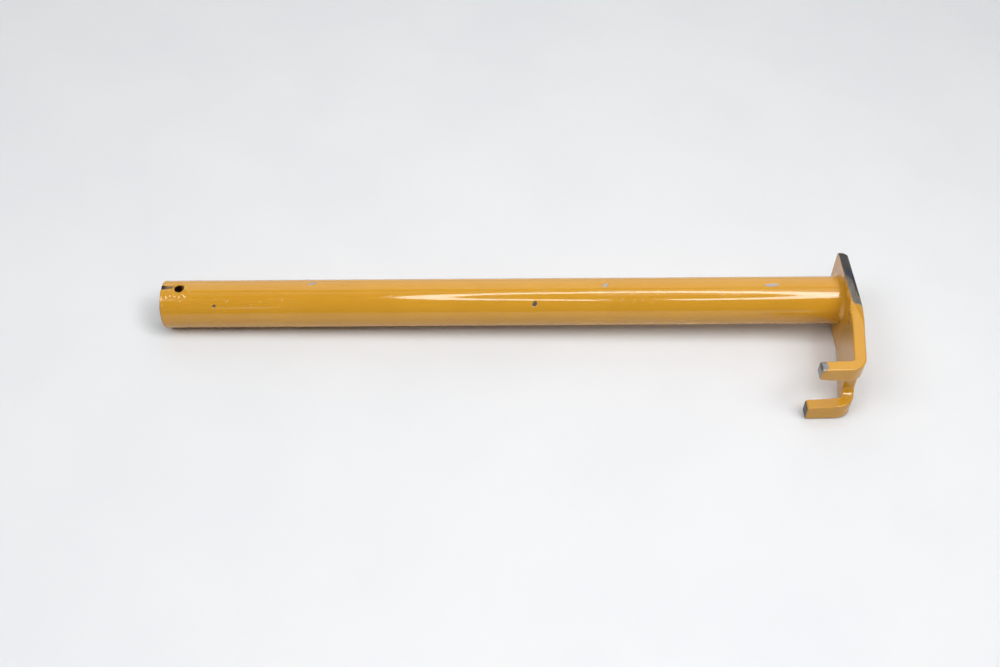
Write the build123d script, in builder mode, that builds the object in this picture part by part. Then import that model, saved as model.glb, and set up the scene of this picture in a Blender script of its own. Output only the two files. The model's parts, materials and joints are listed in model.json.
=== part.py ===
from build123d import *
import os

# A hand bar: a round tube with a forked hook plate welded across one end.
# The origin is the centre of the tube's plain end. +X runs along the tube
# towards the hook plate, the prongs turn back on the -Y side, and +Z is up.
# Lengths are in millimetres and angles in degrees.

# tube: 20 mm round tube with a 3 mm wall
tube_length = 285.75
tube_diameter = 20.0
tube_wall = 3.0
tube_end_chamfer = 0.35

# cross hole near the plain end, drilled through both walls
cross_hole_diameter = 4.0
cross_hole_from_end = 7.7

# hook plate: 1 1/4 x 3/16 inch flat bar, cut square at the far end
plate_width = 31.75
plate_thickness = 4.76
far_edge = 15.0                 # from the tube's axis to the plate's far end
far_corner_chamfer = 2.8

# the plate kinks towards the tube just outside the weld, then turns into the prongs
kink_from_axis = 14.5
kink_angle = 8.8
kink_radius = 14.0
throat = 45.8                   # from the tube's axis to the inside of the prongs
bend_inner_radius = 1.2
bend_outer_radius = 7.2         # the bend was struck, so it is thinner than the bar
prong_lean = 1.5                # the prongs open outwards by this much

# how far each prong's tip reaches back along the tube from the plate's inner face
upper_prong_reach = 18.5
lower_prong_reach = 19.6
tip_corner_radius = 1.2

# slot between the prongs: its sides stand this far from the tube's axis, and flare
slot_top_at_tip = 10.0
slot_top_at_root = 8.4
slot_bottom_at_tip = 8.8
slot_bottom_at_root = 8.0
slot_root_from_axis = 42.6
slot_corner_radius = 3.0

# bevel ground off the outer edge of the plate's top: it starts from the inner edge
# at ground_touch, falls across the thickness, and runs out past the kink
ground_touch = -6.0
ground_fall_across = 0.62
ground_fall_to_far_end = 0.06
run_out_end = -27.0
run_out_fall = 0.10

# fillet weld over the top of the tube, which leaves the underside open
weld_leg = 2.0
weld_bulge = 0.25
weld_start_angle = -50.0        # counted from +Y towards +Z
weld_sweep_angle = 240.0

# derived sizes
tube_radius = tube_diameter / 2
bore_radius = tube_radius - tube_wall
half_width = plate_width / 2
plate_inner_x = tube_length
plate_outer_x = plate_inner_x + plate_thickness
tool_reach = 60.0               # how far the cutting tools run past the material
prong_inset = 0.2               # the prong cut starts this far short of their inner face

os.makedirs("parts", exist_ok=True)


def heading(angle):
    """Unit vector seen from above, turned by angle from -Y towards -X."""
    return Vector(0, -1).rotate(Axis.Z, -angle)


def outside(point, angle_before, angle_after):
    """Outer corner of the bent bar where its inner corner is point."""
    normal_before = heading(angle_before).rotate(Axis.Z, 90)
    normal_after = heading(angle_after).rotate(Axis.Z, 90)
    spread = 1 + normal_before.dot(normal_after)
    return point + (normal_before + normal_after) * (plate_thickness / spread)


# ---------------------------------------------------------------- tube
with BuildPart() as tube:
    with BuildSketch(Plane.YZ):
        Circle(tube_radius)
        Circle(bore_radius, mode=Mode.SUBTRACT)
    extrude(amount=tube_length)
    plain_end = tube.faces().sort_by(Axis.X)[0]
    chamfer(plain_end.edges(), length=tube_end_chamfer)
    with Locations((cross_hole_from_end, 0, 0)):
        Hole(cross_hole_diameter / 2)
tube.part.label = "tube"
export_step(tube.part, "parts/tube.step")

# ---------------------------------------------------------------- hook plate
# The bent bar from above: far end, kink, bend, prong tip, inside and outside.
prong_angle = 90 - prong_lean
web_heading = heading(kink_angle)
prong_heading = heading(prong_angle)
far_point = Vector(plate_inner_x, far_edge)
kink_point = Vector(plate_inner_x, -kink_from_axis)
web_length = (throat - kink_from_axis) / -web_heading.Y
bend_point = kink_point + web_heading * web_length
prong_run = bend_point.X - (plate_inner_x - lower_prong_reach)
tip_point = bend_point + prong_heading * (prong_run / -prong_heading.X)
inner_points = [far_point, kink_point, bend_point, tip_point]
outer_points = [
    outside(far_point, 0, 0),
    outside(kink_point, 0, kink_angle),
    outside(bend_point, kink_angle, prong_angle),
    outside(tip_point, prong_angle, prong_angle),
]

# The grinder took away whatever lies above both of these planes.
ground_plane = Plane(
    origin=(plate_inner_x, ground_touch, half_width),
    z_dir=(ground_fall_across, ground_fall_to_far_end, 1),
)
run_out_inset = (-run_out_end - kink_from_axis) * -web_heading.X / -web_heading.Y
run_out_plane = Plane(
    origin=(plate_outer_x - run_out_inset, run_out_end, half_width),
    z_dir=(ground_fall_across, run_out_fall, 1),
)
with BuildPart() as ground_away:
    with Locations(ground_plane.location):
        Box(
            2 * tool_reach, 2 * tool_reach, tool_reach,
            align=(Align.CENTER, Align.CENTER, Align.MIN),
        )
    split(bisect_by=run_out_plane, keep=Keep.TOP)

with BuildPart() as hook_plate:
    with BuildSketch(Plane.XY.offset(-half_width)):
        with BuildLine():
            FilletPolyline(inner_points, radius=[kink_radius, bend_inner_radius])
            FilletPolyline(
                outer_points, radius=[kink_radius + plate_thickness, bend_outer_radius]
            )
            Line(far_point, outer_points[0])
            Line(tip_point, outer_points[-1])
        make_face()
    extrude(amount=plate_width)
    far_corners = hook_plate.edges().filter_by(Axis.X).group_by(Axis.Y)[-1]
    chamfer(far_corners, length=far_corner_chamfer)

    # slot root, which is cut into the web past the bend
    with BuildSketch(Plane.YZ) as slot_root:
        with Locations((-slot_root_from_axis, -slot_bottom_at_root)):
            Rectangle(
                tool_reach, slot_top_at_root + slot_bottom_at_root,
                align=(Align.MAX, Align.MIN),
            )
        fillet(slot_root.vertices().group_by(Axis.X)[-1], radius=slot_corner_radius)
    extrude(amount=plate_outer_x + tool_reach, mode=Mode.SUBTRACT)

    # slot between the prongs, which flares towards the tips, and the shorter upper prong
    slot_start_x = plate_inner_x - lower_prong_reach
    with BuildSketch(Plane.XZ.offset(throat - prong_inset)):
        with BuildLine():
            Polyline(
                (slot_start_x, -slot_bottom_at_tip),
                (slot_start_x, slot_top_at_tip),
                (bend_point.X, slot_top_at_root),
                (plate_outer_x, slot_top_at_root),
                (plate_outer_x, -slot_bottom_at_root),
                (bend_point.X, -slot_bottom_at_root),
                close=True,
            )
        make_face()
        with Locations((slot_start_x, 0)):
            Rectangle(
                lower_prong_reach - upper_prong_reach, half_width,
                align=(Align.MIN, Align.MIN),
            )
    extrude(amount=tool_reach, mode=Mode.SUBTRACT)

    across_prong = Axis((0, 0, 0), prong_heading.rotate(Axis.Z, 90))
    fillet(hook_plate.edges().filter_by(across_prong), radius=tip_corner_radius)
    add(ground_away.part, mode=Mode.SUBTRACT)
hook_plate.part.label = "hook_plate"
export_step(hook_plate.part, "parts/hook_plate.step")

# ---------------------------------------------------------------- weld bead
with BuildPart() as weld_bead:
    with BuildSketch(Plane.XY.rotated((weld_start_angle, 0, 0))):
        with BuildLine():
            plate_toe = (plate_inner_x, tube_radius + weld_leg)
            tube_toe = (plate_inner_x - weld_leg, tube_radius)
            SagittaArc(tube_toe, plate_toe, weld_bulge)
            Polyline(tube_toe, (plate_inner_x, tube_radius), plate_toe)
        make_face()
    revolve(axis=Axis.X, revolution_arc=weld_sweep_angle)
weld_bead.part.label = "weld_bead"
export_step(weld_bead.part, "parts/weld_bead.step")
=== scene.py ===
"""A forked hook bar: gloss amber paint over a tube, a bent flat bar and the weld between them.

+X runs along the tube, the prongs turn back on the -Y side, and +Z is up. Lengths are in
millimetres and angles in degrees; they turn into metres and radians where they are used.
"""
import json
import math

import bpy
import numpy as np
from mathutils import Matrix, Vector, geometry, noise


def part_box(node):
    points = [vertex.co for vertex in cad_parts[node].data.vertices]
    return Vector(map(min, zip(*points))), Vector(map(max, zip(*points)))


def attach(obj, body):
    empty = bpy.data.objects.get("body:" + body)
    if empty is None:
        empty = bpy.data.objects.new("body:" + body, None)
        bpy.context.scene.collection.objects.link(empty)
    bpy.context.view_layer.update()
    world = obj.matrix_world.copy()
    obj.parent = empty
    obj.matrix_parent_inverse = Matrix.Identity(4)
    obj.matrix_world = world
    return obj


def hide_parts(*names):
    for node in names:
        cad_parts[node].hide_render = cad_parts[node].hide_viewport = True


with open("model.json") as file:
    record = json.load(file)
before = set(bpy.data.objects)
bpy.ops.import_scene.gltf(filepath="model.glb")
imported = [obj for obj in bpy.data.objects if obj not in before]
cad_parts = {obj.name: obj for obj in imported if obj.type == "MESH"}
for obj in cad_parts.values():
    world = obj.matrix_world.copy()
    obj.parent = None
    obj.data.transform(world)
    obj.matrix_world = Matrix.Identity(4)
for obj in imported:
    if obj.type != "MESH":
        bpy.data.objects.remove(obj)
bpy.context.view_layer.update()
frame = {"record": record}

MM = 0.001
FAR_AWAY = 99                               # a distance past any mark on the object

# ---------------------------------------------------------------- sizes read from the frame
mounts = {mount["name"]: mount for mount in frame["record"]["mounts"]}
tube_low, tube_high = (np.array(corner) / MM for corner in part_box("tube"))
plate_low, plate_high = (np.array(corner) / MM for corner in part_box("hook_plate"))
TUBE_LENGTH = tube_high[0]
TUBE_RADIUS = tube_high[2]
BORE_RADIUS = mounts["tube_bore"]["dims"]["r_mm"]
HOLE_RADIUS = mounts["cross_hole"]["dims"]["r_mm"]
HOLE_X = mounts["cross_hole"]["pos_m"][0] / MM
INNER_X = TUBE_LENGTH                       # the hook plate's inner and outer flat faces
OUTER_X = plate_high[0]
THICKNESS = OUTER_X - INNER_X
HALF_WIDTH = plate_high[2]
FAR_EDGE_Y = plate_high[1]
LOWER_TIP_X = plate_low[0]

# ---------------------------------------------------------------- small helpers


def fade(low, high, value):
    """0 up to low, 1 from high on, and a smooth rise between them."""
    share = np.clip((value - low) / (high - low), 0, 1)
    return share * share * (3 - 2 * share)


def bump(distance, radius):
    """1 at no distance, falling smoothly to 0 at radius."""
    return 1 - fade(0, radius, distance)


def lumps(points, size, shift=0.0):
    """Smooth noise of about -0.5 to 0.5 at each point, in lumps of about that size."""
    offset = Vector((shift, shift, shift))
    return np.array([noise.noise(Vector(point) / size + offset) for point in points])


def unit(vector):
    """The same direction with length 1."""
    return vector / np.linalg.norm(vector)


def make_piece(name, node, points, faces, material):
    """A smooth-shaded mesh piece from points in millimetres, which stands for one CAD node."""
    mesh = bpy.data.meshes.new(name)
    mesh.from_pydata((np.asarray(points) * MM).tolist(), [], faces)
    mesh.polygons.foreach_set("use_smooth", [True] * len(mesh.polygons))
    mesh.materials.append(material)
    mesh.validate()
    mesh.update()
    piece = bpy.data.objects.new(name, mesh)
    bpy.context.scene.collection.objects.link(piece)
    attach(piece, "root")
    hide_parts(node)
    return piece


def normals_of(points, faces):
    """The vertex normals of a mesh that isn't made yet."""
    mesh = bpy.data.meshes.new("normals")
    mesh.from_pydata(np.asarray(points).tolist(), [], faces)
    found = np.empty(len(mesh.vertices) * 3, np.float32)
    mesh.vertices.foreach_get("normal", found)
    bpy.data.meshes.remove(mesh)
    return found.reshape(-1, 3).astype(float)


def without_spares(points, faces):
    """Leaves out the points that no face uses."""
    used = np.zeros(len(points), bool)
    used[[corner for face in faces for corner in face]] = True
    numbers = np.cumsum(used) - 1
    return points[used], [tuple(int(numbers[corner]) for corner in face) for face in faces]


def strip(first, second):
    """Quads between two closed rings of vertex numbers that run side by side."""
    count = len(first)
    return [
        (first[i], first[(i + 1) % count], second[(i + 1) % count], second[i])
        for i in range(count)
    ]


# ---------------------------------------------------------------- marks on the tube's paint
# Places on the tube are a distance from its plain end and an angle from +Y towards +Z.
# chips down to the metal: distance, angle, half length, half width, lean of the long side
TUBE_CHIPS = [
    (63.4, 76, 1.9, 0.75, 30),
    (23.0, 137, 0.7, 0.6, 20),
    (157.0, 137, 1.3, 1.0, 55),
    (186.8, 89, 1.5, 0.85, 40),
    (256.4, 92, 3.1, 0.85, 4),
]
BROWNED_CHIPS = (1, 2)                      # which of them have rusted, counted from 0
# drops of paint that ran together round the cross hole: distance, angle, radius, height
HOLE_DROPS = [
    (1.2, 113, 1.1, 0.13), (2.2, 106, 1.0, 0.15), (3.2, 112, 1.1, 0.14), (3.9, 104, 1.0, 0.16),
    (5.0, 110, 1.1, 0.15), (5.2, 101, 0.9, 0.12), (6.8, 111, 1.1, 0.13), (8.6, 112, 1.0, 0.13),
    (9.9, 107, 1.1, 0.15), (10.9, 112, 1.0, 0.14), (11.3, 101, 1.0, 0.13), (12.4, 106, 1.1, 0.14),
]
SCRAPE_ANGLE = 87.0                         # scraped channel from the hole to the plain end
SCRAPE_HALF_WIDTH = 1.15
SCRAPE_DEPTH = 0.22
CHIP_DEPTH, CHIP_RIM = 0.11, 0.03           # how deep a chip is, and its raised rim
HOLE_RIM = 0.1                              # paint gathered round the cross hole's mouth
PAINT_DEPTH = 0.06                          # paint over the tube's steel
WAVE_SIZE, RIPPLE_SIZE = 8, 1.8             # unevenness of the thick paint, coarse and fine
TUBE_WAVES, TUBE_RIPPLES = 0.03, 0.004      # and how high both stand on each piece
PLATE_WAVES, PLATE_RIPPLES = 0.03, 0.008
WAVE_STRETCH = (0.3, 1, 1)                  # the tube's waves run along it


def across_mark(x, angle, mark):
    """Distance from a leaning mark's centre, counted in its half sizes."""
    middle_x, middle_angle, half_length, half_width, lean = mark
    along = x - middle_x
    round_tube = np.radians(middle_angle - angle) * TUBE_RADIUS
    cosine, sine = math.cos(math.radians(lean)), math.sin(math.radians(lean))
    return np.hypot(
        (along * cosine + round_tube * sine) / half_length,
        (round_tube * cosine - along * sine) / half_width,
    )


def tube_skin(x, angle):
    """How far the paint stands out from the tube's steel."""
    y = TUBE_RADIUS * np.cos(np.radians(angle))
    z = TUBE_RADIUS * np.sin(np.radians(angle))
    points = np.stack([x, y, z], 1)
    waves = TUBE_WAVES * lumps(points * WAVE_STRETCH, WAVE_SIZE)
    height = PAINT_DEPTH + waves + TUBE_RIPPLES * lumps(points, RIPPLE_SIZE)
    for mark in TUBE_CHIPS:
        edge = across_mark(x, angle, mark)
        height += CHIP_RIM * bump(abs(edge - 1.25), 0.35) - CHIP_DEPTH * (1 - fade(0.8, 1.15, edge))
    for drop_x, drop_angle, radius, drop_height in HOLE_DROPS:
        drop = (drop_x, drop_angle, radius, radius, 0)
        height += drop_height * bump(across_mark(x, angle, drop), 1.0)
    from_hole = np.hypot(x - HOLE_X, y) + FAR_AWAY * (z < 0)
    height += HOLE_RIM * bump(abs(from_hole - HOLE_RADIUS - 0.5), 0.8)
    scrape = (0, SCRAPE_ANGLE, HOLE_X - HOLE_RADIUS, SCRAPE_HALF_WIDTH, 0)
    height -= SCRAPE_DEPTH * (1 - fade(0.6, 1.1, across_mark(x, angle, scrape)))
    return height


# ---------------------------------------------------------------- tube mesh
TURN_STEPS = 144                            # round the tube
RING_STEP = 0.53                            # between rings along the outside
NEAR_STEP = 0.36                            # between rings near the cross hole
NEAR_END = 14.0
OUTER_EDGE = 0.6                            # rounding of the plain end, outside and inside
INNER_EDGE = 0.4
OUTER_EDGE_STEPS, END_FACE_STEPS, INNER_EDGE_STEPS = 5, 5, 4
BORE_RINGS = 46                             # inside the bore, past the cross hole
PAINT_FULL, PAINT_NONE = 0.4, 1.3           # the paint thins out between these depths in the wall
HOLE_LIP = 0.35                             # rounding of the cross hole's mouths
HOLE_LIP_STEPS = 3
HOLE_WALL_STEPS = 6                         # down the hole, through the wall
PATCH_REACH = 3.6                           # the patch round the hole: along and round the tube
PATCH_HALF_TURNS = 11
PATCH_STEPS = 7                             # from the patch's edge to the hole's mouth


def quarter(steps):
    """Sine and one minus cosine over a quarter turn, for rounding an edge."""
    turns = np.linspace(0, math.pi / 2, steps + 1)
    return list(zip(np.sin(turns), 1 - np.cos(turns)))


def tube_profile():
    """The tube's closed profile as (x, radius), and the numbers of its rings near the hole."""
    near = np.arange(OUTER_EDGE, NEAR_END, NEAR_STEP)
    beyond = np.linspace(near[-1], TUBE_LENGTH, round((TUBE_LENGTH - near[-1]) / RING_STEP))
    bore_beyond = np.linspace(near[-1], TUBE_LENGTH, BORE_RINGS)
    outside = [(x, TUBE_RADIUS) for x in np.concatenate([near, beyond[1:]])][::-1]
    outer_round = [
        (OUTER_EDGE * (1 - out), TUBE_RADIUS - OUTER_EDGE * down)
        for out, down in quarter(OUTER_EDGE_STEPS)[1:]
    ]
    inner_round = [
        (INNER_EDGE * down, BORE_RADIUS + INNER_EDGE * (1 - out))
        for out, down in quarter(INNER_EDGE_STEPS)
    ]
    end_face = np.linspace(outer_round[-1][1], inner_round[0][1], END_FACE_STEPS + 1)[1:-1]
    bore = [(x, BORE_RADIUS) for x in np.concatenate([near, bore_beyond[1:]])]
    profile = outside + outer_round + [(0, radius) for radius in end_face] + inner_round + bore
    outer_near = [len(outside) - 1 - i for i in range(len(near))]
    inner_near = [len(profile) - len(bore) + i for i in range(len(near))]
    return profile, near, outer_near, inner_near


def tube_mesh():
    """Points and faces of the tube, with the cross hole cut through both walls."""
    profile, near, outer_near, inner_near = tube_profile()
    turns = np.radians(np.arange(TURN_STEPS) * 360 / TURN_STEPS)
    grid = [
        np.stack([np.full(TURN_STEPS, x), radius * np.cos(turns), radius * np.sin(turns)], 1)
        for x, radius in profile
    ]
    points = list(np.concatenate(grid))
    first = int(np.argmin(abs(near - (HOLE_X - PATCH_REACH))))
    last = int(np.argmin(abs(near - (HOLE_X + PATCH_REACH))))
    open_cells = set()
    faces = []
    for middle in (TURN_STEPS // 4, 3 * TURN_STEPS // 4):
        spokes = range(middle - PATCH_HALF_TURNS, middle + PATCH_HALF_TURNS)
        for rings in (outer_near, inner_near):
            for i in range(first, last):
                open_cells.update((min(rings[i], rings[i + 1]), spoke) for spoke in spokes)
        faces += hole_faces(points, middle, near, outer_near, inner_near, first, last)
    for ring in range(len(profile)):
        after = (ring + 1) % len(profile)
        for spoke in range(TURN_STEPS):
            if (ring, spoke) not in open_cells:
                beside = (spoke + 1) % TURN_STEPS
                faces.append((
                    ring * TURN_STEPS + spoke, after * TURN_STEPS + spoke,
                    after * TURN_STEPS + beside, ring * TURN_STEPS + beside,
                ))
    points, faces = without_spares(np.array(points), faces)
    radius = np.hypot(points[:, 1], points[:, 2])
    angle = np.degrees(np.arctan2(points[:, 2], points[:, 1])) % 360
    share = fade(TUBE_RADIUS - PAINT_NONE, TUBE_RADIUS - PAINT_FULL, radius)
    grown = radius + share * tube_skin(points[:, 0], angle)
    points[:, 1:] *= (grown / radius)[:, None]
    return points, faces


def hole_faces(points, middle, near, outer_near, inner_near, first, last):
    """Adds one wall's share of the cross hole to points, and returns its faces.

    Loops of points lead from the edge of a patch on the outside, over a rounded lip, down
    the hole and out to the edge of the same patch inside the bore.
    """
    low, high = middle - PATCH_HALF_TURNS, middle + PATCH_HALF_TURNS
    border = [(first, spoke) for spoke in range(low, high)]
    border += [(i, high) for i in range(first, last)]
    border += [(last, spoke) for spoke in range(high, low, -1)]
    border += [(i, low) for i in range(last, first, -1)]
    middle_turn = math.radians(middle * 360 / TURN_STEPS)
    up = np.array([0, math.cos(middle_turn), math.sin(middle_turn)])
    side = np.array([0, -math.sin(middle_turn), math.cos(middle_turn)])
    ahead = np.array([1, 0, 0])
    along = np.array([near[i] - HOLE_X for i, spoke in border])
    turn = np.radians([(spoke - middle) * 360 / TURN_STEPS for i, spoke in border])
    bearing = np.arctan2(TUBE_RADIUS * turn, along)
    loops = [[outer_near[i] * TURN_STEPS + spoke for i, spoke in border]]

    def add_points(x, sideways, height):
        """A loop from its places along the tube, sideways from the hole's axis, and up."""
        new = np.outer(x, ahead) + np.outer(sideways, side) + np.outer(height, up)
        loops.append(list(range(len(points), len(points) + len(new))))
        points.extend(new)

    def add_loop(distance, height):
        """A loop at that distance from the hole's axis."""
        add_points(distance * np.cos(bearing) + HOLE_X, distance * np.sin(bearing), height)

    def add_patch_loop(radius, share):
        """A loop on a wall, from the patch's edge at share 0 to the mouth at share 1."""
        mouth = HOLE_RADIUS + HOLE_LIP
        mouth_turn = np.arcsin(mouth * np.sin(bearing) / radius)
        x = along * (1 - share) + mouth * np.cos(bearing) * share + HOLE_X
        turned = turn * (1 - share) + mouth_turn * share
        add_points(x, radius * np.sin(turned), radius * np.cos(turned))

    def wall_height(radius, distance):
        """How high a wall of that radius stands at that distance from the hole's axis."""
        return np.sqrt(radius**2 - (distance * np.sin(bearing)) ** 2)

    for share in np.linspace(0, 1, PATCH_STEPS + 1)[1:]:
        add_patch_loop(TUBE_RADIUS, share)
    for out, down in quarter(HOLE_LIP_STEPS)[1:]:
        distance = HOLE_RADIUS + HOLE_LIP * (1 - out)
        add_loop(distance, wall_height(TUBE_RADIUS, distance) - HOLE_LIP * down)
    top = wall_height(TUBE_RADIUS, HOLE_RADIUS) - HOLE_LIP
    bottom = wall_height(BORE_RADIUS, HOLE_RADIUS) + HOLE_LIP
    for share in np.linspace(0, 1, HOLE_WALL_STEPS + 1)[1:]:
        add_loop(HOLE_RADIUS, top * (1 - share) + bottom * share)
    for out, down in quarter(HOLE_LIP_STEPS)[-2::-1]:
        distance = HOLE_RADIUS + HOLE_LIP * (1 - out)
        add_loop(distance, wall_height(BORE_RADIUS, distance) + HOLE_LIP * down)
    for share in np.linspace(1, 0, PATCH_STEPS + 1)[1:-1]:
        add_patch_loop(BORE_RADIUS, share)
    loops.append([inner_near[i] * TURN_STEPS + spoke for i, spoke in border])
    return [face for i in range(len(loops) - 1) for face in strip(loops[i], loops[i + 1])]


# ---------------------------------------------------------------- hook plate: the bent bar
KINK_Y = -14.5                              # where the bar kinks towards the tube
KINK_ANGLE = 8.8
KINK_RADIUS = 14.0
THROAT_Y = -45.8                            # inside of the prongs
BEND_INNER_RADIUS = 1.2
BEND_OUTER_RADIUS = 7.2
PRONG_LEAN = 1.5
UPPER_TIP_X = LOWER_TIP_X + 1.1             # the upper prong is a little shorter
FAR_CHAMFER = 2.8
FAR_CORNER_RADIUS = 0.8
TIP_RADIUS = 1.2
SLOT_TOP_AT_TIP, SLOT_TOP = 10.0, 8.4
SLOT_BOTTOM_AT_TIP, SLOT_BOTTOM = -8.8, -8.0
SLOT_ROOT_Y = -42.6
SLOT_RADIUS = 3.0
FLARE_RADIUS = 9                            # where the slot's sides start to flare
PLATE_EDGE = 0.6                            # rounding that the paint leaves on the edges
PLATE_ROUND_STEPS = 4
PLATE_WALL_POINTS = 8                       # across the flat of the bar's edges
PLATE_STEP = 0.42                           # between the mesh's points
FILL_CLEARANCE = 0.7                        # of a step, between the outline and the filling points
FILL_INSIDE_ONLY, FILL_TOLERANCE = 1, 1e-7  # for the triangulation
RUN_POINTS = 60                             # along each straight run of the bent bar's sides
BEND_STEPS = 40                             # round the kink and round the bend
CORNER_STEPS = 12                           # round each corner of the bar's outline

# bevel ground off the top: the steel above both planes is gone
GROUND_SLOPE = 0.62
GROUND_TOUCH_Y, GROUND_FALL = -6.0, 0.06
RUN_OUT_Y, RUN_OUT_FALL = -27.0, 0.10
RUN_OUT_X = OUTER_X - (KINK_Y - RUN_OUT_Y) * math.tan(math.radians(KINK_ANGLE))


def heading(angle):
    """Unit vector seen from above, turned by angle from -Y towards -X."""
    return np.array([-math.sin(math.radians(angle)), -math.cos(math.radians(angle))])


def outwards(angle):
    """Unit vector square to the heading, towards the bar's outside."""
    return np.array([math.cos(math.radians(angle)), -math.sin(math.radians(angle))])


def mitre(point, before, after):
    """The outer corner of the bent bar where its inner corner is point."""
    spread = 1 + outwards(before) @ outwards(after)
    return point + (outwards(before) + outwards(after)) * (THICKNESS / spread)


def fillet(before, corner, after, radius, steps):
    """Points along the arc that rounds a corner."""
    back, on = unit(before - corner), unit(after - corner)
    half = math.acos(np.clip(back @ on, -1, 1)) / 2
    centre = corner + unit(back + on) * radius / math.sin(half)
    start = corner + back * radius / math.tan(half) - centre
    end = corner + on * radius / math.tan(half) - centre
    sweep = math.atan2(start[0] * end[1] - start[1] * end[0], start @ end)
    turns = np.linspace(0, sweep, steps + 1)
    cosines, sines = np.cos(turns), np.sin(turns)
    return centre + np.stack(
        [start[0] * cosines - start[1] * sines, start[0] * sines + start[1] * cosines], 1
    )


def bar_sides():
    """The inner and outer sides of the bent bar from above, point for point."""
    prong_angle = 90 - PRONG_LEAN
    far = np.array([INNER_X, FAR_EDGE_Y])
    kink = np.array([INNER_X, KINK_Y])
    bend = kink + heading(KINK_ANGLE) * (THROAT_Y - KINK_Y) / heading(KINK_ANGLE)[1]
    tip = bend + heading(prong_angle) * (bend[0] - LOWER_TIP_X) / -heading(prong_angle)[0]
    inner = [far, kink, bend, tip]
    outer = [
        mitre(far, 0, 0), mitre(kink, 0, KINK_ANGLE),
        mitre(bend, KINK_ANGLE, prong_angle), mitre(tip, prong_angle, prong_angle),
    ]
    sides = []
    for side, radii in (
        (inner, (KINK_RADIUS, BEND_INNER_RADIUS)),
        (outer, (KINK_RADIUS + THICKNESS, BEND_OUTER_RADIUS)),
    ):
        rounds = [fillet(*side[i:i + 3], radii[i], BEND_STEPS) for i in range(2)]
        runs = [
            np.linspace(side[0], rounds[0][0], RUN_POINTS)[:-1], rounds[0],
            np.linspace(rounds[0][-1], rounds[1][0], RUN_POINTS)[1:-1], rounds[1],
            np.linspace(rounds[1][-1], side[3], RUN_POINTS)[1:],
        ]
        sides.append(np.concatenate(runs))
    return sides


inner_side, outer_side = bar_sides()
middle_steps = np.linalg.norm(np.diff((inner_side + outer_side) / 2, axis=0), axis=1)
BAR_PLACES = np.concatenate([[0], np.cumsum(middle_steps)])     # length along the unbent bar


def place_inside(y):
    """The place along the unbent bar where its inner side reaches that y."""
    order = np.argsort(inner_side[:, 1])
    return float(np.interp(y, inner_side[order, 1], BAR_PLACES[order]))


def bend_bar(place, width, depth):
    """Bends points of the flat bar: place along it, height across it, depth from its inside."""
    share = depth / THICKNESS
    columns = []
    for column in (0, 1):
        inner = np.interp(place, BAR_PLACES, inner_side[:, column])
        outer = np.interp(place, BAR_PLACES, outer_side[:, column])
        columns.append(inner * (1 - share) + outer * share)
    return np.stack([*columns, width], 1)


def ground_height(x, y):
    """Height of the ground bevel over each point of the plate."""
    bevel = HALF_WIDTH - GROUND_SLOPE * (x - INNER_X) - GROUND_FALL * (y - GROUND_TOUCH_Y)
    run_out = HALF_WIDTH - GROUND_SLOPE * (x - RUN_OUT_X) - RUN_OUT_FALL * (y - RUN_OUT_Y)
    return np.maximum(bevel, run_out)


def even_loop(points, step):
    """A closed line drawn again with its points evenly spaced, about step apart."""
    closed = np.concatenate([points, points[:1]])
    lengths = np.concatenate([[0], np.cumsum(np.linalg.norm(np.diff(closed, axis=0), axis=1))])
    marks = np.linspace(0, lengths[-1], round(lengths[-1] / step) + 1)[:-1]
    return np.stack([np.interp(marks, lengths, closed[:, i]) for i in (0, 1)], 1)


def flat_outline():
    """The unbent bar's outline, anticlockwise: along its lower edge, round both prongs, back."""
    end = BAR_PLACES[-1]
    upper_end = end - (UPPER_TIP_X - LOWER_TIP_X)
    bend = BAR_PLACES[-RUN_POINTS]
    root = place_inside(SLOT_ROOT_Y)
    corners = [
        ((0, -HALF_WIDTH + FAR_CHAMFER), FAR_CORNER_RADIUS),
        ((FAR_CHAMFER, -HALF_WIDTH), FAR_CORNER_RADIUS),
        ((end, -HALF_WIDTH), TIP_RADIUS),
        ((end, SLOT_BOTTOM_AT_TIP), TIP_RADIUS),
        ((bend, SLOT_BOTTOM), FLARE_RADIUS),
        ((root, SLOT_BOTTOM), SLOT_RADIUS),
        ((root, SLOT_TOP), SLOT_RADIUS),
        ((bend, SLOT_TOP), FLARE_RADIUS),
        ((upper_end, SLOT_TOP_AT_TIP), TIP_RADIUS),
        ((upper_end, HALF_WIDTH), TIP_RADIUS),
        ((FAR_CHAMFER, HALF_WIDTH), FAR_CORNER_RADIUS),
        ((0, HALF_WIDTH - FAR_CHAMFER), FAR_CORNER_RADIUS),
    ]
    points = [np.array(corner, float) for corner, radius in corners]
    count = len(points)
    rounds = [
        fillet(points[i - 1], points[i], points[(i + 1) % count], corners[i][1], CORNER_STEPS)
        for i in range(count)
    ]
    return even_loop(np.concatenate(rounds), PLATE_STEP)


# ---------------------------------------------------------------- hook plate: marks and mesh
# blobs of paint in the slot's root and on the prongs: x, y, z, radius, height
PLATE_DROPS = [
    (286.3, -43.2, -7.6, 0.65, 0.18), (285.0, -44.7, -8.0, 0.65, 0.18),
    (283.8, -43.5, -8.1, 0.65, 0.16), (282.6, -45.2, -8.2, 0.65, 0.18),
    (281.2, -44.2, -8.3, 0.60, 0.16), (280.0, -46.0, -8.4, 0.65, 0.18),
    (278.6, -45.0, -8.4, 0.60, 0.15), (277.4, -46.6, -8.5, 0.60, 0.15),
    (284.1, -46.5, -8.2, 0.65, 0.17), (286.2, -46.0, -8.0, 0.60, 0.15),
    (268.2, -46.6, -8.9, 0.50, 0.10), (269.6, -47.6, -8.9, 0.50, 0.10),
    (268.4, -48.8, -9.0, 0.50, 0.10), (271.0, -46.7, -8.8, 0.50, 0.09),
    (271.9, -48.1, -8.8, 0.50, 0.09), (270.0, -50.9, -9.6, 0.60, 0.07),
]
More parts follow.
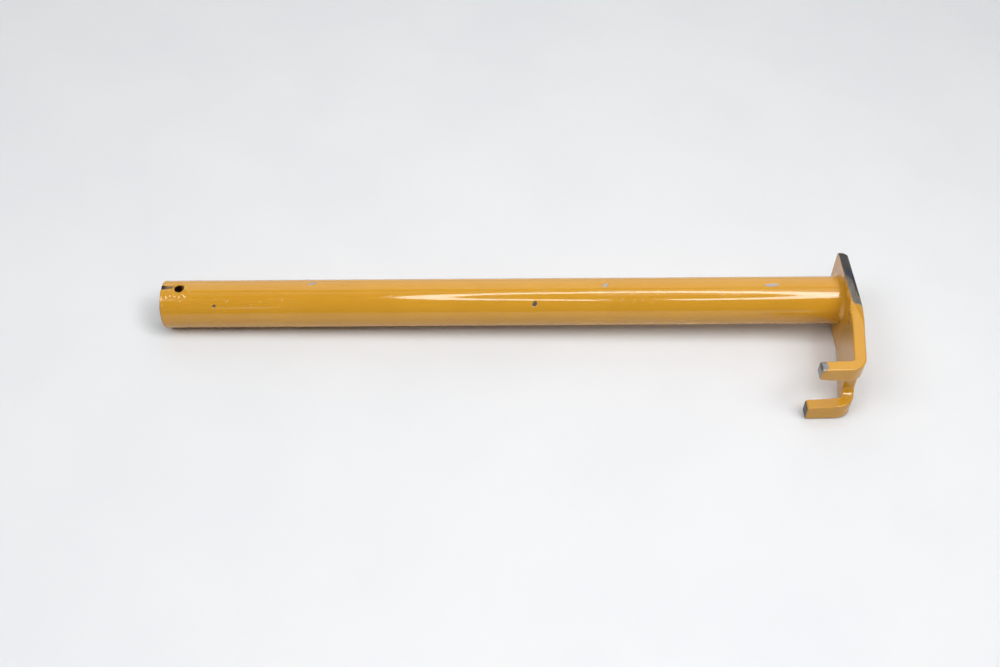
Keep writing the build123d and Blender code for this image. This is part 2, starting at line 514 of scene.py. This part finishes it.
# where the kink crushed the inner top corner: it bulges inwards and the paint is creased
CRUSH_Y, CRUSH_REACH, CRUSH_BULGE = -18.5, 8.5, 0.75
CREASE_PITCH, CREASE_DEPTH, CREASE_LEAN = 1.8, 0.17, 0.6
CREASE_REACH = 0.85                         # as a share of the crushed place's reach
CREASE_FULL, CREASE_NONE = 0.5, 3.2         # the creases die out between these depths
PLATE_SHIFT = 5                             # takes the plate's waves from elsewhere in the noise
DROP_SKIRT = 1.5                            # a blob fades out over this many of its radii


def plate_section():
    """Steps from one face's flat part round the bar's edge: inset from its edge, and depth."""
    near = [
        (PLATE_EDGE * (1 - out), PLATE_EDGE * down) for out, down in quarter(PLATE_ROUND_STEPS)
    ]
    wall = np.linspace(PLATE_EDGE, THICKNESS - PLATE_EDGE, PLATE_WALL_POINTS)[1:-1]
    far = [(inset, THICKNESS - depth) for inset, depth in near[::-1]]
    return near + [(0, depth) for depth in wall] + far


def face_fill(border):
    """Triangles that fill a closed line evenly, as (points, faces); the line's points come first."""
    low, high = border.min(0), border.max(0)
    rows = np.arange(low[1], high[1], PLATE_STEP * math.sqrt(3) / 2)
    inside = []
    for number, width in enumerate(rows):
        shift = PLATE_STEP / 2 * (number % 2)
        for place in np.arange(low[0] + shift, high[0], PLATE_STEP):
            inside.append((place, width))
    inside = np.array(inside)
    ends = np.roll(border, -1, axis=0)
    crossings = np.zeros(len(inside), int)
    nearest = np.full(len(inside), np.inf)
    for start, end in zip(border, ends):
        nearest = np.minimum(nearest, np.hypot(*(inside - start).T))
        spans = (inside[:, 1] < start[1]) != (inside[:, 1] < end[1])
        if start[1] != end[1]:
            share = (inside[:, 1] - start[1]) / (end[1] - start[1])
            crossings += spans & (inside[:, 0] < start[0] + share * (end[0] - start[0]))
    inside = inside[(crossings % 2 == 1) & (nearest > FILL_CLEARANCE * PLATE_STEP)]
    points = np.concatenate([border, inside])
    edges = [(i, (i + 1) % len(border)) for i in range(len(border))]
    filled = geometry.delaunay_2d_cdt(
        [Vector(point) for point in points], edges, [list(range(len(border)))],
        FILL_INSIDE_ONLY, FILL_TOLERANCE,
    )
    triangles, sources = filled[2:4]
    came_from = [origins[0] for origins in sources]
    return points, [tuple(came_from[corner] for corner in face) for face in triangles]


def plate_mesh():
    """Points and faces of the hook plate: a slotted flat bar, bent, ground and painted."""
    outline = flat_outline()
    tangent = np.roll(outline, -1, axis=0) - np.roll(outline, 1, axis=0)
    tangent /= np.linalg.norm(tangent, axis=1)[:, None]
    inward = np.stack([-tangent[:, 1], tangent[:, 0]], 1)
    places, depths, faces, rings = [], [], [], []
    for inset, depth in plate_section():
        rings.append(np.arange(len(outline)) + len(outline) * len(rings))
        places.append(outline + inward * inset)
        depths.append(np.full(len(outline), depth))
    for first, second in zip(rings, rings[1:]):
        faces += [tuple(int(i) for i in face) for face in strip(second, first)]
    filled, triangles = face_fill(places[0])
    extra = filled[len(outline):]
    total = len(outline) * len(rings)
    for ring, depth, order in ((rings[0], 0, 1), (rings[-1], THICKNESS, -1)):
        numbers = np.concatenate([ring, np.arange(total, total + len(extra))])
        total += len(extra)
        places.append(extra)
        depths.append(np.full(len(extra), depth))
        faces += [tuple(int(numbers[i]) for i in triangle[::order]) for triangle in triangles]
    places = np.concatenate(places)
    depths = np.concatenate(depths)
    points = bend_bar(places[:, 0], places[:, 1], depths)
    points = with_plate_marks(points, depths, normals_of(points, faces))
    points[:, 2] = np.minimum(points[:, 2], ground_height(points[:, 0], points[:, 1]))
    return points, faces


def with_plate_marks(points, depths, normals):
    """The plate's points with its bulge, its creases and the paint's blobs and waves."""
    y, z = points[:, 1], points[:, 2]
    from_crush = np.hypot((y - CRUSH_Y) / CRUSH_REACH, (HALF_WIDTH - z) / CRUSH_REACH)
    crush = bump(from_crush, 1.0) * (1 - fade(0, THICKNESS, depths))
    crease = np.sin(2 * math.pi * (y + CREASE_LEAN * (depths + z - HALF_WIDTH)) / CREASE_PITCH)
    height = PLATE_WAVES * lumps(points, WAVE_SIZE, PLATE_SHIFT)
    height += PLATE_RIPPLES * lumps(points, RIPPLE_SIZE, PLATE_SHIFT)
    creased = bump(from_crush, CREASE_REACH) * (1 - fade(CREASE_FULL, CREASE_NONE, depths))
    height += CREASE_DEPTH * crease * creased
    for *middle, radius, drop_height in PLATE_DROPS:
        away = np.linalg.norm(points - middle, axis=1)
        height += drop_height * bump(away, radius * DROP_SKIRT)
    moved = points + normals * height[:, None]
    moved[:, 0] -= CRUSH_BULGE * crush
    return moved


# ---------------------------------------------------------------- weld bead
WELD_START, WELD_SWEEP = -50.0, 240.0       # degrees from +Y towards +Z
WELD_LEG = 1.9
WELD_LEG_SHARE = 0.88                       # its toes lie this share of the leg out, and wander
WELD_WANDER_X, WELD_WANDER_R = 0.25, 0.2
WELD_TOE_SHIFT = 0.05                       # the toe on the tube lies this much further out
WELD_END_TAPER, WELD_END_SHARE = 4.0, 0.35  # length of the tapered ends, and the leg left there
WELD_SWELL = -0.12                          # the painted bead is a little hollow
WELD_SINK = 0.15                            # how far it goes into the tube and the plate
WELD_RIPPLE, WELD_RIPPLE_PITCH, WELD_RIPPLE_LAG = 0.04, 1.7, 0.9
WELD_TURN_STEP = 1.5
WELD_SECTION_POINTS = 13


def weld_mesh():
    """Points and faces of the fillet weld, rippled along its length and tapered at its ends."""
    turns = np.arange(0, WELD_SWEEP + WELD_TURN_STEP / 2, WELD_TURN_STEP)
    section = np.linspace(0, 1, WELD_SECTION_POINTS)
    arch = np.sin(math.pi * section)
    rows = []
    for turn in turns:
        angle = math.radians(WELD_START + turn)
        run = math.radians(turn) * TUBE_RADIUS
        to_end = math.radians(min(turn, WELD_SWEEP - turn)) * TUBE_RADIUS
        end = fade(0, WELD_END_TAPER, to_end)
        leg = WELD_LEG * (WELD_END_SHARE + (1 - WELD_END_SHARE) * end)
        wander = noise.noise(Vector((run / 4, 3, 0)))
        wander_r = noise.noise(Vector((run / 5, 9, 0)))
        toe_x = INNER_X - leg * (WELD_LEG_SHARE + WELD_WANDER_X * wander) - WELD_TOE_SHIFT
        toe_r = TUBE_RADIUS + leg * (WELD_LEG_SHARE + WELD_WANDER_R * wander_r)
        x = toe_x + (INNER_X + WELD_SINK - toe_x) * section
        radius = TUBE_RADIUS - WELD_SINK + (toe_r - TUBE_RADIUS + WELD_SINK) * section
        lag = run - WELD_RIPPLE_LAG * arch
        ripple = WELD_RIPPLE * np.cos(2 * math.pi * lag / WELD_RIPPLE_PITCH) * (0.7 + wander)
        swell = (WELD_SWELL + ripple) * arch * end
        x = np.append(x - swell, INNER_X + WELD_SINK)
        radius = np.append(radius + swell, TUBE_RADIUS - WELD_SINK)
        rows.append(np.stack([x, radius * math.cos(angle), radius * math.sin(angle)], 1))
    points = np.concatenate(rows)
    width = len(section) + 1
    rings = [list(range(i * width, (i + 1) * width)) for i in range(len(turns))]
    faces = [face for i in range(len(rings) - 1) for face in strip(rings[i + 1], rings[i])]
    faces += [tuple(rings[0]), tuple(rings[-1][::-1])]
    return points, faces


# ---------------------------------------------------------------- materials
AMBER = (0.578, 0.283, 0.0197)
AMBER_DEEP = (0.522, 0.241, 0.0128)
SHADE_SHARE, FLECK_SHARE = 0.35, 0.12       # how far the patches and flecks go towards the deep one
PAINT_IOR = 1.6                             # thick gloss enamel
PAINT_ROUGHNESS, PAINT_HAZE = 0.045, 0.05
BARE_ROUGHNESS = 0.42
BARE_METALLIC = 0.85
PEEL_HEIGHT = 0.0008                        # orange peel of the paint
GRIT_HEIGHT = 0.02                          # on bare metal
BARE_HEIGHT = -0.08                         # bare metal lies this far below the paint
NICK_HEIGHT = -0.03
HATCH_STRETCH = (0.9, 0.22, 1)              # makes the nicks long and slanting
SCRATCH_STRETCH = (2.2, 0.35, 1)            # the grinder's scratches run along the plate
STEEL_GREY = (0.30, 0.295, 0.29)
CHIP_STEEL = (0.47, 0.43, 0.42)
SCRAPED_BROWN = (0.34, 0.22, 0.11)
STEEL_DARK = (0.045, 0.040, 0.036)
RUST_BROWN = (0.085, 0.040, 0.018)
TEMPER_BLUE = (0.050, 0.070, 0.140)
TEMPER_PURPLE = (0.045, 0.018, 0.022)
GROUND_DARK = (0.14, 0.13, 0.125)           # the bevel at the plate's far end
GROUND_LIGHT = (0.42, 0.37, 0.31)           # and towards the kink
FLOOR_DARK = (0.680, 0.691, 0.708)
FLOOR_LIGHT = (0.702, 0.711, 0.725)

# spots: the middle of each and its half sizes
BLUE_AT, BLUE_SIZES = (288.9, 2.3, 13.2), (2.5, 2.9, 4)         # heat tints on the bevel
PURPLE_AT, PURPLE_SIZES = (290.6, -3.5, 13), (1.5, 7.0, 4)
UPPER_TIP_AT, UPPER_TIP_SIZES = (UPPER_TIP_X, -48.2, 15.4), (3.1, 2.9, 1.8)
CREVICE_SHADE_AT, CREVICE_SHADE_SIZES = (INNER_X - 1.5, -11.2, -2.8), (1.2, 0.8, 1.0)       # painted shade: a dark spot where the weld ends in the crevice under the tube


class Graph:
    """Adds shader nodes to one material in short calls that return their output sockets."""

    def __init__(self, name):
        self.material = bpy.data.materials.new(name)
        self.material.use_nodes = True
        self.tree = self.material.node_tree
        self.shader = self.tree.nodes["Principled BSDF"]
        object_place = self.put("ShaderNodeTexCoord", {}, out="Object")
        self.place = self.put(
            "ShaderNodeVectorMath", {0: object_place, 3: 1 / MM}, operation="SCALE", out="Vector"
        )
        parts = self.put("ShaderNodeSeparateXYZ", {0: self.place}, out=None)
        self.x, self.y, self.z = (parts.outputs[i] for i in range(3))

    def put(self, kind, inputs, out=0, **settings):
        """Adds a node; inputs maps each socket to a number, a colour or another node's output."""
        node = self.tree.nodes.new(kind)
        for name, value in settings.items():
            setattr(node, name, value)
        for key, value in inputs.items():
            if isinstance(value, bpy.types.NodeSocket):
                self.tree.links.new(value, node.inputs[key])
            else:
                node.inputs[key].default_value = value
        return node if out is None else node.outputs[out]

    def math(self, operation, *values):
        """A Math node over numbers and outputs."""
        return self.put("ShaderNodeMath", dict(enumerate(values)), operation=operation)

    def rise(self, low, high, value):
        """0 up to low, 1 from high on, and a smooth rise between; it falls where low is larger."""
        return self.put(
            "ShaderNodeMapRange", {"Value": value, "From Min": low, "From Max": high},
            interpolation_type="SMOOTHSTEP",
        )

    def noise(self, size, detail=2.0, stretch=(1, 1, 1)):
        """Noise of about 0.3 to 0.7 in lumps of about that many millimetres."""
        where = self.put(
            "ShaderNodeVectorMath", {0: self.place, 1: stretch}, operation="MULTIPLY"
        )
        return self.put(
            "ShaderNodeTexNoise", {"Vector": where, "Scale": 1 / size, "Detail": detail}
        )

    def mix(self, share, first, second):
        """A colour between two others."""
        def colour(value):
            return (*value, 1) if isinstance(value, tuple) else value
        node = self.put(
            "ShaderNodeMix", {"Factor": share}, out=None, data_type="RGBA", clamp_factor=True
        )
        for socket, value in ((node.inputs[6], colour(first)), (node.inputs[7], colour(second))):
            if isinstance(value, bpy.types.NodeSocket):
                self.tree.links.new(value, socket)
            else:
                socket.default_value = value
        return node.outputs[2]

    def blend(self, share, first, second):
        """A number between two others."""
        rest = self.math("MULTIPLY", self.math("SUBTRACT", 1, share), first)
        return self.math("ADD", rest, self.math("MULTIPLY", share, second))

    def either(self, *masks):
        """The largest of several masks."""
        found = masks[0]
        for mask in masks[1:]:
            found = self.math("MAXIMUM", found, mask)
        return found

    def both(self, *masks):
        """The product of several masks."""
        found = masks[0]
        for mask in masks[1:]:
            found = self.math("MULTIPLY", found, mask)
        return found

    def ragged(self, grain, reach):
        """Noise about 0, of up to about a fifth of reach, that makes a mask's border ragged."""
        return self.math(
            "MULTIPLY", self.math("SUBTRACT", self.noise(grain, detail=3), 0.5), reach
        )

    def near(self, point, sizes, ragged=0.35, grain=0.9):
        """A ragged spot round a point in the row frame, 1 within its half sizes."""
        away = self.put(
            "ShaderNodeVectorMath", {0: self.place, 1: point}, operation="SUBTRACT"
        )
        counted = self.put("ShaderNodeVectorMath", {0: away, 1: sizes}, operation="DIVIDE")
        distance = self.put(
            "ShaderNodeVectorMath", {0: counted}, operation="LENGTH", out="Value"
        )
        return self.rise(1.12, 0.92, self.math("ADD", distance, self.ragged(grain, ragged * 2)))


def finish_paint(graph, bare, bare_colour, nicks=0):
    """Sets the shader: amber gloss paint, and bare metal where the mask bare is 1."""
    shade = graph.rise(0.35, 0.65, graph.noise(23, detail=3))
    paint = graph.mix(graph.math("MULTIPLY", shade, SHADE_SHARE), AMBER, AMBER_DEEP)
    fleck = graph.rise(0.60, 0.72, graph.noise(1.1, detail=4))
    paint = graph.mix(graph.math("MULTIPLY", fleck, FLECK_SHARE), paint, AMBER_DEEP)
    colour = graph.mix(bare, paint, bare_colour)
    haze = graph.math("MULTIPLY_ADD", graph.noise(9, detail=3), PAINT_HAZE, PAINT_ROUGHNESS)
    roughness = graph.blend(bare, haze, BARE_ROUGHNESS)
    peel = graph.math("MULTIPLY", graph.noise(0.9), PEEL_HEIGHT)
    gritty = graph.math("MULTIPLY", bare, GRIT_HEIGHT)
    grit = graph.math("MULTIPLY", graph.noise(0.22, detail=3), gritty)
    step = graph.math("MULTIPLY", bare, BARE_HEIGHT)
    height = graph.math("ADD", graph.math("ADD", peel, grit), graph.math("ADD", step, nicks))
    normal = graph.put(
        "ShaderNodeBump", {"Strength": 1.0, "Distance": MM, "Height": height}, out="Normal"
    )
    links = graph.tree.links
    links.new(colour, graph.shader.inputs["Base Color"])
    links.new(roughness, graph.shader.inputs["Roughness"])
    links.new(graph.math("MULTIPLY", bare, BARE_METALLIC), graph.shader.inputs["Metallic"])
    links.new(normal, graph.shader.inputs["Normal"])
    graph.shader.inputs["IOR"].default_value = PAINT_IOR
    return graph.material


def tube_material():
    """Paint with the chips, the scrape by the hole, and bare dark metal inside the bore and the
    cross hole, which is also painted shade down the hole.
    """
    graph = Graph("amber_paint_tube")
    turn = graph.math("ARCTAN2", graph.z, graph.y)
    arc = graph.math("MULTIPLY", turn, TUBE_RADIUS)
    radius = graph.math("SQRT", graph.math(
        "ADD", graph.math("MULTIPLY", graph.y, graph.y), graph.math("MULTIPLY", graph.z, graph.z)
    ))
    ragged = graph.ragged(0.7, 0.9)

    def chip(x, angle, half_length, half_width, lean):
        """A ragged mark like the dents that tube_skin makes."""
        cosine, sine = math.cos(math.radians(lean)), math.sin(math.radians(lean))
        along = graph.math("SUBTRACT", graph.x, x)
        across = graph.math("SUBTRACT", math.radians(angle) * TUBE_RADIUS, arc)
        longwise = graph.math("MULTIPLY_ADD", across, sine, graph.math("MULTIPLY", along, cosine))
        sidewise = graph.math("MULTIPLY_ADD", across, cosine, graph.math("MULTIPLY", along, -sine))
        counted = graph.math("SQRT", graph.math(
            "ADD",
            graph.math("POWER", graph.math("DIVIDE", longwise, half_length), 2.0),
            graph.math("POWER", graph.math("DIVIDE", sidewise, half_width), 2.0),
        ))
        return graph.rise(1.1, 0.85, graph.math("ADD", counted, ragged))

    marks = [chip(*mark) for mark in TUBE_CHIPS]
    chips = graph.either(*marks)
    browned = graph.either(*[marks[i] for i in BROWNED_CHIPS])
    scrape = chip(0, SCRAPE_ANGLE, HOLE_X - HOLE_RADIUS, SCRAPE_HALF_WIDTH, 0)

    # the paint is worn off the rim of the plain end in places
    end_wear = graph.both(
        graph.rise(0.45, 0.15, graph.math("ADD", graph.x, graph.math("MULTIPLY", ragged, 0.5))),
        graph.rise(BORE_RADIUS + 1.6, BORE_RADIUS + 2.4, radius),
        graph.rise(0.46, 0.56, graph.noise(3.5)),
    )
    # bare dark steel inside the bore and the cross hole; up to the hole's rim it is also painted
    # shade down the hole; paint covers the end face
    past_end = graph.rise(0.5, 0.0, graph.x)
    inside = graph.rise(TUBE_RADIUS - 0.25, TUBE_RADIUS - 0.7, graph.math(
        "ADD", radius, graph.math("MULTIPLY", past_end, FAR_AWAY)
    ))
    bore = graph.rise(BORE_RADIUS + 0.5, BORE_RADIUS + 0.2, radius)
    dark = graph.either(inside, bore, scrape, end_wear)
    rusty = graph.rise(0.4, 0.62, graph.noise(2.4, detail=4))
    metal = graph.mix(graph.math("MULTIPLY", browned, 0.8), CHIP_STEEL, RUST_BROWN)
    metal = graph.mix(dark, metal, graph.mix(rusty, STEEL_DARK, RUST_BROWN))
    scraped = graph.mix(graph.rise(0.6, 3.6, graph.x), STEEL_DARK, SCRAPED_BROWN)
    metal = graph.mix(scrape, metal, scraped)

    # fine slanting nicks in patches, where the bar has rubbed
    slant = graph.put("ShaderNodeCombineXYZ", {
        0: graph.math("ADD", graph.x, arc), 1: graph.math("SUBTRACT", graph.x, arc),
    })
    slanted = graph.put(
        "ShaderNodeVectorMath", {0: slant, 1: HATCH_STRETCH}, operation="MULTIPLY"
    )
    hatch = graph.put("ShaderNodeTexNoise", {"Vector": slanted, "Scale": 1.0, "Detail": 1.0})
    rubbed = graph.rise(0.48, 0.6, graph.noise(16, detail=1))
    nicks = graph.both(graph.rise(0.60, 0.72, hatch), rubbed, NICK_HEIGHT)
    return finish_paint(graph, graph.either(chips, dark), metal, nicks)


def plate_material():
    """Paint with the heat-blued ground bevel and the bare prong tips."""
    graph = Graph("amber_paint_plate")

    def over(x, y, fall):
        """Height over the ground plane through (x, y) at the plate's top, with that fall on Y."""
        drop = graph.math("MULTIPLY_ADD", graph.math("SUBTRACT", graph.x, x), GROUND_SLOPE, graph.z)
        rise = graph.math("MULTIPLY_ADD", graph.math("SUBTRACT", graph.y, y), fall, drop)
        return graph.math("SUBTRACT", rise, HALF_WIDTH)

    above = graph.math(
        "MINIMUM", over(INNER_X, GROUND_TOUCH_Y, GROUND_FALL),
        over(RUN_OUT_X, RUN_OUT_Y, RUN_OUT_FALL),
    )
    ragged = graph.ragged(1.2, 0.3)
    ragged_x = graph.math("ADD", graph.x, ragged)

    # bare steel on the bevel, in places on the far end, and at both prong tips
    ground = graph.both(
        graph.rise(-0.42, -0.30, graph.math("ADD", above, ragged)),
        graph.rise(HALF_WIDTH - 5.5, HALF_WIDTH - 5.0, graph.z),
        graph.rise(-16.2, -15.2, graph.math("MULTIPLY_ADD", ragged, 3, graph.y)),
    )
    far_face = graph.both(
        graph.rise(FAR_EDGE_Y - 0.25, FAR_EDGE_Y - 0.1, graph.y),
        graph.rise(0.42, 0.5, graph.noise(4)),
    )
    lower_tip = graph.both(
        graph.rise(LOWER_TIP_X + 0.55, LOWER_TIP_X + 0.25, ragged_x),
        graph.rise(-7, -8, graph.z),
    )
    upper_tip = graph.near(UPPER_TIP_AT, UPPER_TIP_SIZES)
    upper_end = graph.both(
        graph.rise(UPPER_TIP_X + 0.45, UPPER_TIP_X + 0.15, ragged_x),
        graph.rise(8, 9, graph.z),
    )

    worn = graph.math("MULTIPLY", graph.rise(0.42, 0.6, graph.noise(2.2, detail=4)), 0.45)
    steel = graph.mix(worn, STEEL_GREY, STEEL_DARK)
    steel = graph.mix(graph.math("MULTIPLY", lower_tip, 0.75), steel, STEEL_DARK)
    ground_steel = graph.mix(graph.rise(5.0, -6.0, graph.y), GROUND_DARK, GROUND_LIGHT)
    scratches = graph.rise(0.45, 0.62, graph.noise(1.0, 3, SCRATCH_STRETCH))
    blue = graph.near(BLUE_AT, BLUE_SIZES, ragged=0.5, grain=2)
    purple = graph.near(PURPLE_AT, PURPLE_SIZES, ragged=0.3, grain=3)
    for mask, share, tint in (
        (scratches, 0.35, STEEL_DARK), (blue, 0.7, TEMPER_BLUE), (purple, 0.8, TEMPER_PURPLE),
    ):
        ground_steel = graph.mix(graph.math("MULTIPLY", mask, share), ground_steel, tint)
    metal = graph.mix(ground, steel, ground_steel)
    bare = graph.either(ground, far_face, lower_tip, upper_tip, upper_end)
    return finish_paint(graph, bare, metal)


def weld_material():
    """Paint, with painted shade where the bead ends in the crevice under the tube."""
    graph = Graph("amber_paint_weld")
    # painted shade: dark brown where the bead ends in the crevice under the tube
    crevice_shade = graph.near(CREVICE_SHADE_AT, CREVICE_SHADE_SIZES, ragged=0.4, grain=0.8)
    return finish_paint(graph, crevice_shade, RUST_BROWN)


def floor_material():
    """Pale matt paper with a faint mottle."""
    graph = Graph("pale_floor")
    mottle = graph.rise(0.3, 0.7, graph.noise(60, detail=3))
    colour = graph.mix(mottle, FLOOR_DARK, FLOOR_LIGHT)
    graph.tree.links.new(colour, graph.shader.inputs["Base Color"])
    graph.shader.inputs["Roughness"].default_value = 0.8
    graph.shader.inputs["Specular IOR Level"].default_value = 0.2
    return graph.material


# ---------------------------------------------------------------- floor, lights and camera
FLOOR_SIZE = 12000.0
RING_CENTRE = (239.0, -181.0, 550.0)
RING_NORMAL = (0.48, -0.10, 0.87)           # the ring's axis, away from the bar
RING_RADIUS = 200.0
RING_WIDTH = 66.0
RING_LAMPS = 36
RING_GAP = (27, 28)                         # lamps left out where the ring is held
RING_RADIANCE = 9.0
ROOM_RADIANCE = 0.12
BOX_DISTANCE = 2500.0
# soft boxes: azimuth from +X towards +Y, elevation, width and height in degrees, radiance;
# box_low makes the short faint highlight low on the tube
SOFT_BOXES = {
    "box_behind": (84, 34, 54, 62, 0.95),
    "box_front_left": (204, 52, 24, 24, 5.6),
    "box_front_right": (336, 53, 24, 24, 5.0),
    "box_low": (253.3, 27, 3.2, 8, 1.1),
    "box_right": (0, 72, 30, 26, 0.9),
    "box_zenith": (90, 82, 50, 14, 0.4),
}
# the camera looks at VIEW_TARGET; its azimuth is counted from -Y towards +X
VIEW_TARGET = (142.36, -6.73, -12.8)
VIEW_AZIMUTH, VIEW_ELEVATION, VIEW_ROLL = 0.558, 49.849, -0.794
VIEW_DISTANCE = 512.3
VIEW_LENS = 42.86


def make_floor():
    """The bar rests on its plain end and on the lower prong's tip, so the floor tilts a little."""
    slope = (plate_low[2] - tube_low[2]) / LOWER_TIP_X
    half = FLOOR_SIZE / 2
    points = []
    for x, y in ((-half, -half), (half, -half), (half, half), (-half, half)):
        points.append((x, y, tube_low[2] + slope * x))
    mesh = bpy.data.meshes.new("floor")
    mesh.from_pydata((np.array(points) * MM).tolist(), [], [(0, 1, 2, 3)])
    mesh.materials.append(floor_material())
    floor = bpy.data.objects.new("floor", mesh)
    bpy.context.scene.collection.objects.link(floor)


def add_lamp(name, place, towards, size, radiance, tangent):
    """A white rectangular lamp that faces along towards, its length along tangent.

    The camera doesn't see it.
    """
    lamp = bpy.data.lights.new(name, "AREA")
    lamp.shape = "RECTANGLE"
    lamp.size, lamp.size_y = size[0] * MM, size[1] * MM
    lamp.energy = radiance * math.pi * lamp.size * lamp.size_y
    holder = bpy.data.objects.new(name, lamp)
    bpy.context.scene.collection.objects.link(holder)
    back = -Vector(towards).normalized()
    across = Vector(tangent)
    across = (across - back * across.dot(back)).normalized()
    turned = Matrix((across, back.cross(across), back)).transposed().to_4x4()
    holder.matrix_world = Matrix.Translation(Vector(place) * MM) @ turned
    holder.visible_camera = False


def make_ring_lamp():
    """A round studio lamp: short lamps end to end round a circle."""
    normal = Vector(RING_NORMAL).normalized()
    across = (Vector((1, 0, 0)) - normal * normal.x).normalized()
    up = normal.cross(across)
    length = 2 * math.pi * RING_RADIUS / RING_LAMPS
    for i in set(range(RING_LAMPS)) - set(RING_GAP):
        turn = 2 * math.pi * (i + 0.5) / RING_LAMPS
        out = across * math.cos(turn) + up * math.sin(turn)
        tangent = up * math.cos(turn) - across * math.sin(turn)
        place = Vector(RING_CENTRE) + out * RING_RADIUS
        name = f"ring_lamp_{i:02d}"
        add_lamp(name, place, -normal, (length, RING_WIDTH), RING_RADIANCE, tangent)


def add_soft_box(name, azimuth, elevation, wide, high, radiance):
    """A far lamp, so many degrees wide and high, seen from the object in that direction."""
    turn, lift = math.radians(azimuth), math.radians(elevation)
    out = Vector((
        math.cos(turn) * math.cos(lift), math.sin(turn) * math.cos(lift), math.sin(lift)
    ))
    place = Vector((TUBE_LENGTH / 2, 0, 0)) + out * BOX_DISTANCE
    size = [2 * BOX_DISTANCE * math.tan(math.radians(angle / 2)) for angle in (wide, high)]
    add_lamp(name, place, -out, size, radiance, (-math.sin(turn), math.cos(turn), 0))


def make_world():
    """An even pale room."""
    world = bpy.data.worlds.new("pale_room")
    bpy.context.scene.world = world
    world.use_nodes = True
    background = world.node_tree.nodes["Background"]
    background.inputs["Color"].default_value = (1, 1, 1, 1)
    background.inputs["Strength"].default_value = ROOM_RADIANCE


def make_camera():
    """The photograph's own view, with the camera rolled a little about its line of sight."""
    camera = bpy.data.objects.new("camera", bpy.data.cameras.new("camera"))
    bpy.context.scene.collection.objects.link(camera)
    azimuth, elevation = math.radians(VIEW_AZIMUTH), math.radians(VIEW_ELEVATION)
    back = Vector((
        math.sin(azimuth) * math.cos(elevation), -math.cos(azimuth) * math.cos(elevation),
        math.sin(elevation),
    ))
    camera.location = (Vector(VIEW_TARGET) + back * VIEW_DISTANCE) * MM
    level = (-back).to_track_quat("-Z", "Y").to_matrix()
    camera.rotation_euler = (level @ Matrix.Rotation(math.radians(VIEW_ROLL), 3, "Z")).to_euler()
    camera.data.lens = VIEW_LENS
    camera.data.clip_start, camera.data.clip_end = 0.01, 20
    bpy.context.scene.camera = camera


# ---------------------------------------------------------------- the scene
make_piece("painted_tube", "tube", *tube_mesh(), tube_material())
make_piece("painted_hook_plate", "hook_plate", *plate_mesh(), plate_material())
make_piece("painted_weld_bead", "weld_bead", *weld_mesh(), weld_material())
make_floor()
make_world()
make_ring_lamp()
for box_name, box in SOFT_BOXES.items():
    add_soft_box(box_name, *box)
make_camera()
bpy.context.scene.view_settings.view_transform = "Standard"
